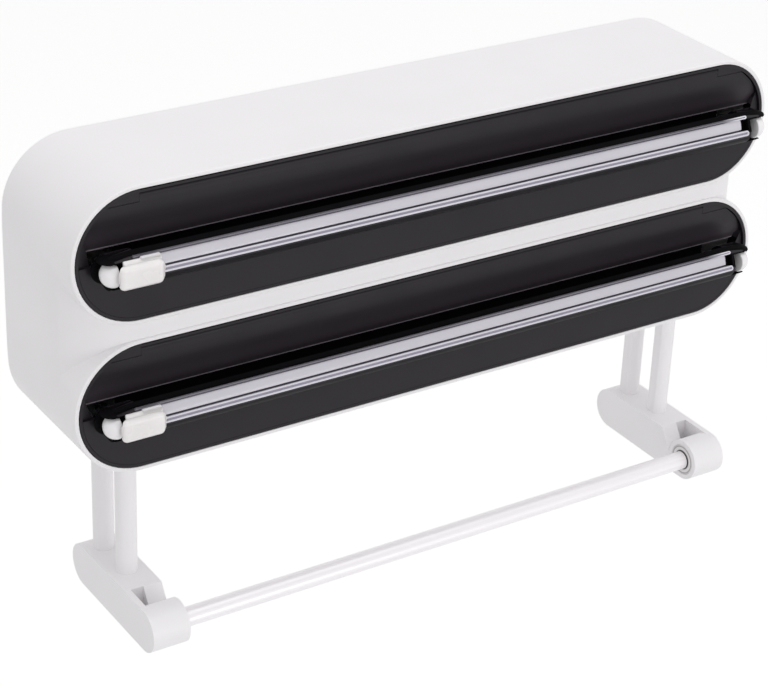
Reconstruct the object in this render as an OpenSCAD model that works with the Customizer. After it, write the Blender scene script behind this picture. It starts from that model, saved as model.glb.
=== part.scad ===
// Wall-mounted double film dispenser with a kitchen roll rod below.
// The wall is the plane Y = 0, the front faces -Y, X runs along the width and +Z is up.
// The origin is the middle of the back, half-way between the two film tiers.
// Each tier has a drop front: a black door hinged along its top edge, with a round bar, a
// clear rail, a slide cutter and two sprung end buttons.

/* [Casing] */
// Overall width of the casing
casing_w = 375; // [350:1:420]
// Depth of the casing from the wall to the front plane
casing_d = 68; // [66:1:84]
// Height of one tier, outside its wall
tier_h = 64.6; // [64:0.2:72]
// Distance between the middles of the two tiers
tier_pitch = 72; // [71:1:84]
// Wall of the casing
wall_t = 2; // [1.6:0.1:2.6]
// Depth of the waist between the tiers, behind the front plane
waist_depth = 0.8; // [0.5:0.1:3]
// Plan radius of the upright corners at the waist
waist_corner_r = 32; // [24:0.5:36]
// Depth of the wall round each mouth, behind the front plane
mouth_wall_d = 12.8; // [11:0.2:18]
// Thickness of the shelf between the film bays
shelf_t = 2; // [1.6:0.2:3]
// Width of the ribs that hold the shelf
shelf_rib_w = 6; // [4:0.5:9]

/* [Back plate] */
// Thickness of the back plate
back_t = 3; // [2.4:0.2:4]
// Distance of a hanging hole from the outer side of the casing
hanger_inset = 47.5; // [44:0.5:80]
// Height of the hanging holes above the middle
hanger_z = 20; // [10:1:30]
// Diameter of the round entry of a hanging hole
hanger_d = 9; // [8:0.5:11]
// Width of the narrow slot of a hanging hole
hanger_slot_w = 4.6; // [4:0.2:6]
// Rise of the narrow slot above the entry
hanger_rise = 11; // [9:1:16]
// Distance of the outer back screws from the outer side of the casing
boss_side = 57.5; // [40:0.5:80]
// Diameter of a screw boss
boss_d = 8; // [7:0.5:10]
// Length of a screw boss
boss_l = 14; // [12:1:18]
// Distance of a back screw from the inside of the casing wall
boss_inset = 5; // [4.5:0.5:7]

/* [Screws] */
// Shank diameter of the screws
screw_d = 3; // [2.5:0.1:3.4]
// Length of the shank
screw_l = 10; // [8:1:11]
// Diameter of the head
screw_head_d = 5.6; // [5:0.1:6.6]
// Height of the head
screw_head_h = 1.6; // [1.2:0.1:1.8]
// Width of the cross recess
screw_cross_w = 0.8; // [0.6:0.1:1]

/* [Front] */
// Visible width of the fixed black ring round a door
bezel_t = 1.3; // [1:0.1:1.8]
// Depth of the fixed ring
bezel_d = 9.6; // [9:0.2:11]
// Width of the stop flange at the back of the ring
stop_w = 2; // [1.4:0.2:2.6]
// Thickness of the stop flange
stop_t = 2; // [1.4:0.1:2.2]
// How much the upper corners of a door are eased, so that it swings clear of the ring
door_ease = 0.9; // [0.8:0.1:1.2]
// Thickness of the door mouldings
door_t = 2; // [1.6:0.1:2.2]
// Distance from the front plane to the film guide behind the slot
guide_y = 8.4; // [8:0.1:9]
// Thickness of the film guide
guide_t = 1.1; // [0.9:0.1:1.3]
// Height of the top of the film guide above the middle of the tier
guide_top_z = 3; // [2.4:0.1:3.4]
// Depth of the film guide below the top of the door's lower plate
guide_deep = 5; // [4.6:0.1:6]
// Depth of the rim round a door, behind the front plane
door_rim_d = 6.6; // [6:0.2:6.8]
// How far the film guard starts behind the front plane
guard_inset = 0.8; // [0.4:0.1:1.2]
// Radius of the guard's curve
guard_r = 45; // [42:1:60]
// Height of the guard's curve centre above the middle of the tier
guard_centre_z = 24; // [22:0.5:26]
// Height of the guard's lower lip above the middle of the tier
lip_z = 4.4; // [4.2:0.1:5.5]
// Height of the top of the door's lower plate against the middle of the tier
plate_top_z = -0.6; // [-1:0.1:-0.3]
// Distance of the film slot's end from the outer side of the casing
slot_inset = 9.5; // [8.5:0.5:20]
// Radius of the hinge barrel along the top of a door
barrel_r = 1.8; // [1.6:0.1:2]
// Diameter of a hinge pin
hinge_pin_d = 1.5; // [1.2:0.1:1.8]
// Length of a hinge pin
hinge_pin_l = 9; // [6:0.5:11]

/* [Bar] */
// Radius of the round bar in front of a door
bar_r = 8; // [7.8:0.1:8.3]
// Distance of the bar's middle in front of the front plane
bar_out = 7; // [6.6:0.1:7.4]
// Height of the bar's middle against the middle of the tier
bar_z = -0.5; // [-1:0.1:-0.2]
// Distance from the bar's round end to the outer edge of the casing
bar_end_inset = 6.5; // [3.6:0.1:8]
// Radius of the film trough behind the bar's lip
trough_r = 3.4; // [3:0.2:3.6]
// Distance of the film trough's end from the outer side of the casing
trough_inset = 24.5; // [23.5:0.5:40]
// Tilt of the rail face above level, in degrees
rail_tilt = 25; // [22:1:28]
// Height of the clear rail along its face
rail_h = 9.8; // [9.4:0.1:10]
// Thickness of the clear rail
rail_t = 3.1; // [3:0.1:3.3]
// How far the rail face is from the middle of the bar
rail_face = 6.9; // [6.8:0.1:7.2]
// Distance of the rail's end from the outer side of the casing
rail_inset = 22.5; // [21.5:0.5:40]
// How far the rail's wide band stops short of its ends
band_short = 4; // [2:0.5:8]
// Width of the running groove of the rail
groove_w = 1.2; // [1:0.1:1.4]
// Distance of the groove below the middle of the rail
groove_off = 1.5; // [1.2:0.1:1.8]
// Width of the hidden runner channel
channel_w = 3; // [2.6:0.1:3.4]
// Depth of the hidden runner channel
channel_d = 1.3; // [1.1:0.1:1.4]
// Depth of the runner channel below the rail face
channel_in = 0.9; // [0.8:0.1:1]
// Height of the two beads on the rail face
bead_h = 0.35; // [0.2:0.05:0.4]
// Width of a bead
bead_w = 0.9; // [0.7:0.1:1.1]

/* [Slide cutter] */
// Width of the slide cutter
cutter_w = 20.8; // [16:0.2:26]
// Distance of its front in front of the bar's axis
cutter_front = 11; // [10.8:0.1:12]
// Distance of its lower edge below the bar's axis
cutter_low = 4.9; // [4.6:0.1:5.4]
// Distance of its upper edge above the middle of the rail
cutter_high = 5; // [4.8:0.1:5.4]
// Distance of the pad's upper edge above the bar's axis
cutter_pad_z = 4.4; // [4:0.1:5]
// Thickness of the tab above the pad
cutter_tab_t = 2; // [1.8:0.1:2.2]
// Corner radius of its grip
cutter_corner_r = 1.9; // [1.4:0.1:2.2]
// Chamfer round the front of its pad
cutter_bevel = 0.8; // [0.5:0.1:1]
// How far the parked cutter reaches past the end of the rail
cutter_past = 8.4; // [6:0.2:8.6]
// Width of its runner
runner_w = 10; // [8:0.5:12]
// Width of the runner's neck
neck_w = 4; // [3:0.5:5]
// How far the neck reaches into the grip
neck_in = 1.8; // [1.6:0.1:1.9]
// Blade thickness
blade_t = 0.4; // [0.3:0.05:0.5]
// Height of the blade
blade_h = 4.1; // [4:0.1:4.2]
// Length of the blade
blade_l = 9.8; // [8:0.2:10]
// How far the blade reaches into the rail groove
blade_dip = 0.5; // [0.3:0.05:0.6]

/* [Buttons] */
// Radius of an end button
button_r = 5.7; // [5.4:0.1:5.8]
// Straight length of an end button
button_straight = 0.9; // [0.6:0.1:1.2]
// Distance of the button's dome centre from the bar's end centre
button_back = 0.5; // [0.3:0.1:3.6]
// Travel of an end button towards the middle
button_travel = 3; // [2:0.1:3]
// Free space beside a button that is not pressed
button_room = 5; // [4.6:0.1:5.5]
// Distance of the button's axis in front of the bar's axis
button_ahead = 1.6; // [1.4:0.1:1.8]
// Distance of the button's axis below the bar's axis
button_drop = 0.7; // [0.5:0.1:0.9]
// Width of the tongue behind a button
tongue_w = 3; // [2.4:0.1:3.2]
// Thickness of the tongue
tongue_t = 2; // [1.6:0.1:2.2]
// Distance of the tongue's top below the top of the lower plate
tongue_down = 2; // [1.8:0.1:2.2]
// Wire diameter of the button spring
spring_wire_d = 0.5; // [0.4:0.05:0.55]
// Mean radius of the button spring
spring_r = 1.3; // [1.2:0.05:1.4]
// Curls of the button spring
spring_curls = 3; // [3:1:4]

/* [Brackets] */
// Length of a bracket from back to front
bracket_l = 82; // [78:1:92]
// Distance from the wall to the back of a bracket
bracket_back = 11.2; // [8:0.2:14]
// Height of a bracket
bracket_h = 20.8; // [20:0.2:24]
// Width of a bracket
bracket_w = 18.5; // [17:0.5:22]
// Distance of a bracket's outer side from the outer side of the casing
bracket_inset = 23.7; // [20:0.1:40]
// Free height of the legs
leg_h = 62.9; // [50:0.5:80]
// Diameter of a leg
leg_d = 10; // [8:0.5:11]
// Distance between the two legs of a bracket
leg_pitch = 23.2; // [20:0.2:28]
// Distance from the back of a bracket to its rear leg
leg_back = 14.5; // [12:0.5:18]
// Depth of a leg in its socket
leg_sink = 8; // [7:0.5:10]
// Thickness of the outer plate of a bracket
plate_t = 3; // [2.4:0.2:4]
// Floor under the pocket of a bracket
pocket_floor = 2.4; // [2:0.2:4]
// Length of that pocket
pocket_l = 10.8; // [9:0.2:12]
// Width of that pocket
pocket_w = 6.3; // [5:0.1:7]

/* [Rod] */
// Diameter of the rod
rod_d = 9.2; // [8.8:0.1:11]
// Wall of the rod tube
rod_wall = 0.7; // [0.5:0.1:0.9]
// Diameter of the rod's end spigots
spigot_d = 6; // [5:0.1:6.2]
// Length of a spigot inside its bush
spigot_l = 5.5; // [4.5:0.1:6]
// Travel of the sprung plunger
plunger_travel = 7; // [6.8:0.1:8]
// Length of the plunger's head inside the tube
plunger_head_l = 6; // [5:0.5:8]
// Length of the plug inside the tube's left end
plug_l = 14; // [8:1:20]
// Length of the pressed spring in the tube
rod_spring_l = 13; // [12:0.5:16]
// Curls of that spring
rod_spring_curls = 10; // [8:1:12]
// Wire diameter of that spring
rod_wire_d = 0.7; // [0.5:0.05:0.8]
// Thickness of the spring seat in the tube
seat_t = 3; // [2:0.5:5]
// Diameter of a bush flange
bush_flange_d = 15.6; // [14:0.2:17]
// Thickness of a bush flange
bush_flange_t = 1.2; // [1:0.1:1.6]
// Wall of a bush
bush_wall = 1.6; // [1.2:0.1:2]

/* [Fits] */
// Gap between fixed pieces
fit = 0.15; // [0.1:0.05:0.2]
// Gap round a door
door_gap = 0.35; // [0.3:0.05:0.4]
// Gap between running pieces that are not round
run_gap = 0.2; // [0.15:0.05:0.25]
// Free space beside larger moving pieces
free_gap = 0.3; // [0.25:0.05:0.4]
// Radial clearance of pins and spigots in their bores
pin_clearance = 0.06; // [0.04:0.01:0.08]

/* [Hidden] */
$fn = 64;

// Facets of the large curves
large_fn = 180;
// Cuts run this far past the faces that they open
over = 1;
// Pieces of one moulding run this far into each other
merge = 0.5;

// Signs of the two tiers and the two sides
upper = 1;
lower = -1;
left = -1;
right = 1;

// Tier shapes
tier_r = tier_h / 2;
mouth_r = tier_r - wall_t;
mouth_w = casing_w - 2 * wall_t;
waist_y = casing_d - waist_depth;
floor_z = -tier_pitch / 2 - mouth_r;
base_z = floor_z - wall_t;
boss_x = casing_w / 2 - boss_side;
hanger_x = casing_w / 2 - hanger_inset;

// Front ring and door
bezel_r = mouth_r - fit;
bezel_w = mouth_w - 2 * fit;
ring_r = bezel_r - bezel_t;
ring_w = bezel_w - 2 * bezel_t;
door_r = ring_r - door_gap;
door_w = ring_w - 2 * door_gap;
straight_x = door_w / 2 - door_r;
barrel_x = straight_x - free_gap;
hinge_y = guard_inset + barrel_r;
hinge_z = door_r - barrel_r;
// The ears that carry the pins end this far below a pin, as a share of the barrel's radius
ear_drop_share = 1.22;
// Beside the ears the door starts this far below a pin, as a share of the barrel's radius
notch_drop_share = 1.9;
// The easing of a door starts at this height, as a share of the door's radius
door_ease_share = 0.45;
// Height of the webs that join guard and lower plate, as a share of the bar's radius
web_top_share = 1.1;

// Bar, rail and buttons
bar_x = casing_w / 2 - bar_end_inset - bar_r;
slot_x = casing_w / 2 - slot_inset;
trough_x = casing_w / 2 - trough_inset;
rail_l = casing_w - 2 * rail_inset;
rail_back = rail_face - rail_t;
// Inner face of the bar's lip in front of the bar's axis, as a share of the bar's radius
bar_lip_share = 0.02;
// The neck that joins bar and door reaches this far down, as a share of the bar's radius
bar_neck_share = 0.8;
// The hood over a button ends this far above the button's axis, as a share of its radius
hood_low_share = 0.26;
// Below the hood the bar's end is cut back to this distance in front of the plane, as a share of its radius
hood_cut_share = 0.4;
button_x = bar_x - button_back;
button_flat_x = button_x - button_straight;
room_x = button_flat_x - button_room;
button_y = -bar_out - button_ahead;
button_z = bar_z - button_drop;
tongue_z = plate_top_z - tongue_down;
latch_y = door_t + free_gap;
latch_t = tongue_t;
spring_out_r = spring_r + spring_wire_d / 2;
spring_z = tongue_z - tongue_t / 2;
spring_y = latch_y + spring_out_r;
// Room that one curl of the pressed button spring takes, in wires
curl_share = 2;
spring_len = (curl_share * spring_curls + 1) * spring_wire_d;
spring_rib_x = button_flat_x - button_travel - free_gap - spring_len;
spring_rib_t = door_t;
guide_x = spring_rib_x - spring_rib_t / 2;
// The catch behind the stop flange reaches out to this distance from the flange's edge
catch_gap = 3 * free_gap;
catch_x = ring_w / 2 - stop_w - catch_gap;
catch_y = bezel_d + free_gap;

// Slide cutter
grip_w0 = rail_face + bead_h + free_gap;
// Height of the tab's top above the bar's axis
grip_top = cutter_high * cos(rail_tilt) + (grip_w0 + cutter_tab_t) * sin(rail_tilt);
// Middle of the parked runner, and how far the grip's middle lies outside it
cutter_x = -rail_l / 2 + fit + runner_w / 2;
runner_shift = cutter_x + rail_l / 2 + cutter_past - cutter_w / 2;

// Brackets and rod
bracket_x = casing_w / 2 - bracket_inset - bracket_w;
bracket_r = bracket_h / 2;
bracket_top = base_z - leg_h;
bracket_z = bracket_top - bracket_r;
bracket_front = -bracket_back - bracket_l;
rod_y = bracket_front + bracket_r;
leg_ys = [-bracket_back - leg_back, -bracket_back - leg_back - leg_pitch];
leg_x = bracket_x + bracket_w / 2;
leg_r = leg_d / 2;
leg_flat_share = 0.84;
block_end_y = rod_y + bracket_r + free_gap;
// Length of the slope in front of the block, as a share of the bracket's radius
slope_share = 0.66;
rod_end = bracket_x - free_gap;
rod_r = rod_d / 2;
rod_in_r = rod_r - rod_wall;
rod_lip_t = 2 * rod_wall;
spigot_r = spigot_d / 2;
bush_r = spigot_r + pin_clearance + bush_wall;
bush_l = spigot_l + bush_wall;
head_end = rod_end - rod_lip_t;
seat_x = head_end - plunger_head_l - plunger_travel - free_gap - rod_spring_l;

// Extrudes a [Y, Z] shape along X, about the middle
module along_x(l)
    rotate([90, 0, 90])
        linear_extrude(l, center = true)
            children();

// Extrudes an [X, Z] shape towards the wall, from y0 on
module along_y(y0, l)
    translate([0, y0 + l, 0])
        rotate([90, 0, 0])
            linear_extrude(l)
                children();

// A box between two opposite corners
module span(a, b)
    translate(a)
        cube(b - a);

// Puts a shape that is drawn for the right side on either side
module on_side(side)
    mirror([side == left ? 1 : 0, 0, 0])
        children();

// Moves into a tier's frame: its front plane is Y = 0 and its middle Z = 0
module tier(level)
    translate([0, -casing_d, level * tier_pitch / 2])
        children();

// Bar with half-round ends, drawn flat
module stadium(w, r) {
    square([w - 2 * r, 2 * r], center = true);
    for (side = [left, right])
        translate([side * (w / 2 - r), 0])
            circle(r, $fn = large_fn);
}

// Rectangle with round corners, drawn flat about the middle
module round_rect(w, h, r) {
    square([w - 2 * r, h], center = true);
    square([w, h - 2 * r], center = true);
    for (x = [-1, 1], y = [-1, 1])
        translate([x * (w / 2 - r), y * (h / 2 - r)])
            circle(r);
}

// Block between the tiers, from the waist to the wall, with round upright front corners
module waist_block(w, depth, r, past)
    linear_extrude(tier_pitch, center = true) {
        translate([-w / 2, -(depth - r)])
            square([w, depth - r + past]);
        translate([-(w / 2 - r), -depth])
            square([w - 2 * r, depth + past]);
        for (side = [left, right])
            translate([side * (w / 2 - r), -(depth - r)])
                circle(r);
    }

// Unbroken coil along X that starts at the origin
module coil(r, wire_d, l, curls) {
    rings = 8;
    sides = 6;
    steps = curls * rings;
    rise = (l - wire_d) / steps;
    points = [
        for (i = [0:steps])
            let (a = 360 * i / rings)
                for (j = [0:sides - 1])
                    let (b = 360 * j / sides, d = r + cos(b) * wire_d / 2)
                        [wire_d / 2 + i * rise + sin(b) * wire_d / 2, d * cos(a), d * sin(a)]
    ];
    faces = [
        for (i = [0:steps - 1], j = [0:sides - 1])
            let (k = (j + 1) % sides, a = i * sides, b = a + sides)
                each [[a + j, b + j, b + k], [a + j, b + k, a + k]]
    ];
    echo(least_gap_between_curls = rise * rings - wire_d);
    polyhedron(
        points,
        concat(
            faces,
            [[for (j = [0:sides - 1]) j]],
            [[for (j = [sides - 1:-1:0]) steps * sides + j]]
        )
    );
}

// Screw that points along +Z from the origin, with its head below
module pan_screw()
    difference() {
        union() {
            translate([0, 0, -screw_head_h])
                cylinder(d = screw_head_d, h = screw_head_h);
            cylinder(d = screw_d, h = screw_l);
        }
        for (a = [0, 90])
            rotate(a)
                translate([0, 0, -screw_head_h])
                    cube([screw_head_d / 2, screw_cross_w, screw_head_h], center = true);
    }

// Places of the six back screws
back_xs = [-boss_x, 0, boss_x];
back_zs = [-tier_pitch / 2 - mouth_r + boss_inset, tier_pitch / 2 + mouth_r - boss_inset];

// White casing with two mouths in front and an open back
module casing()
    color("white")
        difference() {
            union() {
                difference() {
                    union() {
                        for (level = [upper, lower])
                            tier(level)
                                along_y(0, casing_d)
                                    stadium(casing_w, tier_r);
                        waist_block(casing_w, waist_y, waist_corner_r, 0);
                    }
                    for (level = [upper, lower])
                        tier(level)
                            along_y(-over, casing_d + 2 * over)
                                stadium(mouth_w, mouth_r);
                    difference() {
                        waist_block(mouth_w, waist_y - wall_t, waist_corner_r - wall_t, over);
                        for (level = [upper, lower])
                            tier(level)
                                along_y(0, mouth_wall_d)
                                    stadium(casing_w, tier_r);
                    }
                }
                casing_bosses();
                shelf_ribs();
                leg_sockets();
            }
            for (x = back_xs, z = back_zs)
                translate([x, -back_t, z])
                    rotate([90, 0, 0])
                        cylinder(d = screw_d, h = boss_l - wall_t);
            for (side = [left, right], y = leg_ys)
                translate([side * leg_x, y, base_z - over])
                    cylinder(r = leg_r + fit, h = leg_sink + over);
            for (side = [left, right], y = leg_ys)
                translate([side * leg_x, y, base_z])
                    cylinder(d = screw_d + 2 * fit, h = leg_sink + 2 * wall_t);
        }

// Bosses for the back screws, each with a rib to the wall
module casing_bosses()
    for (x = back_xs, level = [upper, lower])
        translate([x, -back_t - boss_l - fit, level * (tier_pitch / 2 + mouth_r - boss_inset)]) {
            rotate([-90, 0, 0])
                cylinder(d = boss_d, h = boss_l);
            span(
                [-wall_t / 2, 0, level == upper ? 0 : -boss_inset - merge],
                [wall_t / 2, boss_l, level == upper ? boss_inset + merge : 0]
            );
        }

// Pairs of ribs that carry the ends of the shelf
module shelf_ribs()
    for (side = [left, right], level = [upper, lower])
        on_side(side)
            translate([0, 0, level * (shelf_t / 2 + fit + wall_t / 2)])
                span(
                    [mouth_w / 2 - shelf_rib_w, -waist_y + waist_corner_r, -wall_t / 2],
                    [mouth_w / 2 + merge, -back_t - wall_t, wall_t / 2]
                );

// Sockets in the floor for the legs
module leg_sockets()
    for (side = [left, right], y = leg_ys)
        translate([side * leg_x, y, floor_z - merge])
            cylinder(r = leg_r + fit + wall_t, h = leg_sink + merge);

// Back plate with two hanging holes
module back_plate()
    color("whitesmoke")
        difference() {
            along_y(-back_t, back_t)
                difference() {
                    round_outline(mouth_w - 2 * fit, mouth_r - fit);
                    for (side = [left, right])
                        translate([side * hanger_x, hanger_z]) {
                            circle(d = hanger_d);
                            translate([0, hanger_rise])
                                circle(d = hanger_slot_w);
                            translate([-hanger_slot_w / 2, 0])
                                square([hanger_slot_w, hanger_rise]);
                        }
                }
            for (x = back_xs, z = back_zs)
                translate([x, over, z])
                    rotate([90, 0, 0])
                        cylinder(d = screw_d + 2 * fit, h = back_t + 2 * over);
            for (x = back_xs, z = back_zs)
                translate([x, over, z])
                    rotate([90, 0, 0])
                        cylinder(d = screw_head_d + 2 * fit, h = over + screw_head_h);
        }

// Outline of the inside of the casing, seen from the front
module round_outline(w, r) {
    square([w - 2 * r, tier_pitch + 2 * r], center = true);
    square([w, tier_pitch], center = true);
    for (side = [left, right], level = [upper, lower])
        translate([side * (w / 2 - r), level * tier_pitch / 2])
            circle(r, $fn = large_fn);
}

// Shelf between the two film bays
module shelf()
    color("gainsboro")
        span(
            [-mouth_w / 2 + fit, -waist_y + waist_corner_r, -shelf_t / 2],
            [mouth_w / 2 - fit, -back_t - fit, shelf_t / 2]
        );

// Six screws that hold the back plate
module back_screws()
    color("silver")
        for (x = back_xs, z = back_zs)
            translate([x, -screw_head_h, z])
                rotate([90, 0, 0])
                    pan_screw();

// Four screws that hold the legs, from inside the casing
module leg_screws()
    color("silver")
        for (side = [left, right], y = leg_ys)
            translate([side * leg_x, y, base_z + leg_sink + wall_t])
                rotate([180, 0, 0])
                    pan_screw();

// Pins of the two door hinges
module hinge_pins()
    color("silver")
        for (level = [upper, lower], side = [left, right])
            tier(level)
                translate([side * straight_x, hinge_y, hinge_z])
                    rotate([0, 90, 0])
                        cylinder(d = hinge_pin_d, h = hinge_pin_l, center = true);

// Fixed black ring in a mouth, with a stop flange and two ears for the hinge pins
module bezel(level)
    color([0.12, 0.12, 0.13])
        tier(level)
            difference() {
                union() {
                    along_y(0, bezel_d)
                        difference() {
                            stadium(bezel_w, bezel_r);
                            stadium(ring_w, ring_r);
                        }
                    along_y(bezel_d - stop_t, stop_t)
                        difference() {
                            stadium(bezel_w - bezel_t, bezel_r - bezel_t / 2);
                            stadium(ring_w - 2 * stop_w, ring_r - stop_w);
                        }
                    along_y(guard_inset, bezel_d - guard_inset)
                        for (side = [left, right])
                            mirror([side == left ? 1 : 0, 0])
                                intersection() {
                                    stadium(bezel_w - bezel_t, bezel_r - bezel_t / 2);
                                    translate([straight_x, hinge_z - ear_drop_share * barrel_r])
                                        square(bezel_r);
                                }
                }
                for (side = [left, right])
                    translate([side * straight_x, hinge_y, hinge_z])
                        rotate([0, 90, 0])
                            cylinder(d = hinge_pin_d, h = hinge_pin_l, center = true);
            }

// Outline of a door, seen from the front, notched beside the ears and eased beside the notches
module door_outline()
    difference() {
        union() {
            intersection() {
                stadium(door_w, door_r);
                translate([-door_w, -2 * door_r])
                    square([2 * door_w, (2 + door_ease_share) * door_r]);
            }
            stadium(door_w - 2 * door_ease, door_r - door_ease);
        }
        for (side = [left, right])
            mirror([side == left ? 1 : 0, 0])
                translate([barrel_x, hinge_z - notch_drop_share * barrel_r])
                    square(2 * door_r);
        translate([-door_w / 2, hinge_z])
            square([door_w, door_r]);
    }

// Section of the film guard above the slot
module guard_section()
    intersection() {
        translate([guard_inset + guard_r, guard_centre_z])
            difference() {
                circle(guard_r, $fn = 2 * large_fn);
                circle(guard_r - door_t, $fn = 2 * large_fn);
            }
        translate([-over, lip_z])
            square([bezel_d, door_r]);
    }

// Round bar with half-round ends, about its own axis
module bar_body()
    rotate([0, 90, 0])
        rotate_extrude()
            intersection() {
                rotate(90)
                    stadium(2 * (bar_x + bar_r), bar_r);
                translate([0, -bar_x - 2 * bar_r])
                    square([2 * bar_r, 2 * bar_x + 4 * bar_r]);
            }

// Section of the film trough behind the bar's lip
module trough_section()
    translate([trough_r - bar_lip_share * bar_r, 0]) {
        circle(trough_r);
        translate([-trough_r, 0])
            square([bar_r + merge, 2 * bar_r]);
    }

// Door: guard, lower plate and bar in one moulding
module door(level)
    color([0.1, 0.1, 0.11])
        tier(level)
            difference() {
                union() {
                    intersection() {
                        along_x(door_w) {
                            guard_section();
                            translate([0, -door_r])
                                square([door_t, door_r + plate_top_z]);
                        }
                        along_y(-over, bezel_d)
                            door_outline();
                    }
                    door_rim();
                    door_webs();
                    film_guide();
                    translate([0, hinge_y, hinge_z])
                        along_x(2 * barrel_x)
                            circle(barrel_r);
                    translate([0, -bar_out, bar_z])
                        bar_body();
                    along_x(2 * bar_x)
                        translate([-bar_out / 2, bar_z - bar_neck_share * bar_r])
                            square([bar_out / 2 + merge, plate_top_z - bar_z + bar_neck_share * bar_r]);
                    for (side = [left, right])
                        on_side(side)
                            button_carriers();
                }
                translate([0, -bar_out, bar_z])
                    along_x(2 * trough_x)
                        trough_section();
                translate([0, -bar_out, bar_z])
                    along_x(rail_l + 2 * fit)
                        rotate(-rail_tilt)
                            translate([-2 * bar_r, -rail_h / 2 - fit])
                                square([2 * bar_r - rail_back + fit, rail_h + 2 * fit]);
                translate([0, -bar_out, bar_z])
                    along_x(4 * bar_x)
                        rotate(-rail_tilt)
                            translate([-2 * bar_r - rail_face - bead_h, -bar_r])
                                square([2 * bar_r, 2 * bar_r]);
                for (side = [left, right])
                    on_side(side)
                        button_cuts();
                for (side = [left, right])
                    translate([side * barrel_x, hinge_y, hinge_z])
                        rotate([0, 90, 0])
                            cylinder(
                                r = hinge_pin_d / 2 + pin_clearance,
                                h = hinge_pin_l + 2 * free_gap,
                                center = true
                            );
            }

// Wall behind the slot that the film runs over, on a ledge of the lower plate
module film_guide() {
    span(
        [-guide_x, guide_y, plate_top_z - guide_deep],
        [guide_x, guide_y + guide_t, guide_top_z]
    );
    span(
        [-guide_x, door_t - merge, plate_top_z - guide_deep],
        [guide_x, guide_y + guide_t, plate_top_z - guide_deep + guide_t]
    );
}

// Rim round the sides and the bottom of a door
module door_rim()
    intersection() {
        along_y(door_t - merge, door_rim_d - door_t + merge)
            difference() {
                door_outline();
                stadium(door_w - 2 * door_t, door_r - door_t);
            }
        span(
            [-door_w, -over, -2 * door_r],
            [door_w, 2 * bezel_d, hinge_z - notch_drop_share * barrel_r]
        );
    }

// Webs that join the guard and the lower plate past the ends of the film slot
module door_webs()
    intersection() {
        along_y(door_t - merge, door_rim_d - door_t + merge)
            door_outline();
        for (side = [left, right])
            on_side(side)
                span(
                    [slot_x, -over, plate_top_z - merge],
                    [door_w, 2 * bezel_d, web_top_share * bar_r]
                );
    }

// Rib with a peg for the spring, and two guides for the latch, on the back of a door
module button_carriers() {
    span(
        [spring_rib_x - spring_rib_t, door_t - merge, spring_z - spring_out_r],
        [spring_rib_x, spring_y + spring_out_r, spring_z + spring_out_r]
    );
    translate([spring_rib_x, spring_y, spring_z])
        rotate([0, 90, 0])
            cylinder(r = spring_r - spring_wire_d / 2 - run_gap, h = spring_len / 2);
    for (z = [tongue_z + run_gap, tongue_z - tongue_t - run_gap - door_t / 2])
        translate([0, 0, z])
            span(
                [button_flat_x + tongue_w, door_t - merge, 0],
                [slot_x, latch_y + latch_t, door_t / 2]
            );
}

// Room for an end button and the slot for its tongue
module button_cuts() {
    translate([room_x, button_y, button_z])
        rotate([0, 90, 0])
            cylinder(r = button_r + free_gap, h = button_x - room_x);
    translate([button_x, button_y, button_z]) {
        sphere(button_r + free_gap);
        rotate([90, 0, 0])
            cylinder(r = button_r + free_gap, h = 2 * bar_r);
    }
    span(
        [room_x, -bar_out - 2 * bar_r, button_z - button_r - free_gap],
        [button_x, button_y, button_z + button_r + free_gap]
    );
    span(
        [button_flat_x + tongue_w + free_gap, -bar_out - 2 * bar_r, bar_z - 2 * bar_r],
        [bar_x + 2 * bar_r, -hood_cut_share * bar_r, button_z + hood_low_share * button_r]
    );
    span(
        [button_flat_x - button_travel - free_gap, button_y, tongue_z - tongue_t - run_gap],
        [button_flat_x + tongue_w + free_gap, door_t + over, tongue_z + run_gap]
    );
}

// White end button with its tongue, latch and catch
module button(level, side)
    color("white")
        tier(level)
            on_side(side) {
                translate([button_x, button_y, button_z])
                    rotate([0, 90, 0])
                        rotate_extrude() {
                            intersection() {
                                circle(button_r);
                                square(button_r);
                            }
                            translate([0, -button_straight])
                                square([button_r, button_straight + merge]);
                        }
                span(
                    [button_flat_x, button_y, tongue_z - tongue_t],
                    [button_flat_x + tongue_w, spring_y + spring_out_r, tongue_z]
                );
                span(
                    [button_flat_x, latch_y, tongue_z - tongue_t],
                    [slot_x, latch_y + latch_t, tongue_z]
                );
                span(
                    [slot_x - latch_t, latch_y, tongue_z - tongue_t],
                    [slot_x, catch_y + latch_t, tongue_z]
                );
                span(
                    [slot_x - latch_t, catch_y, tongue_z - tongue_t],
                    [catch_x, catch_y + latch_t, tongue_z]
                );
            }

// Spring of an end button, at its pressed length on its rib
module button_spring(level, side)
    color("silver")
        tier(level)
            on_side(side)
                translate([spring_rib_x, spring_y, spring_z])
                    coil(spring_r, spring_wire_d, spring_len, spring_curls);

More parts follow.
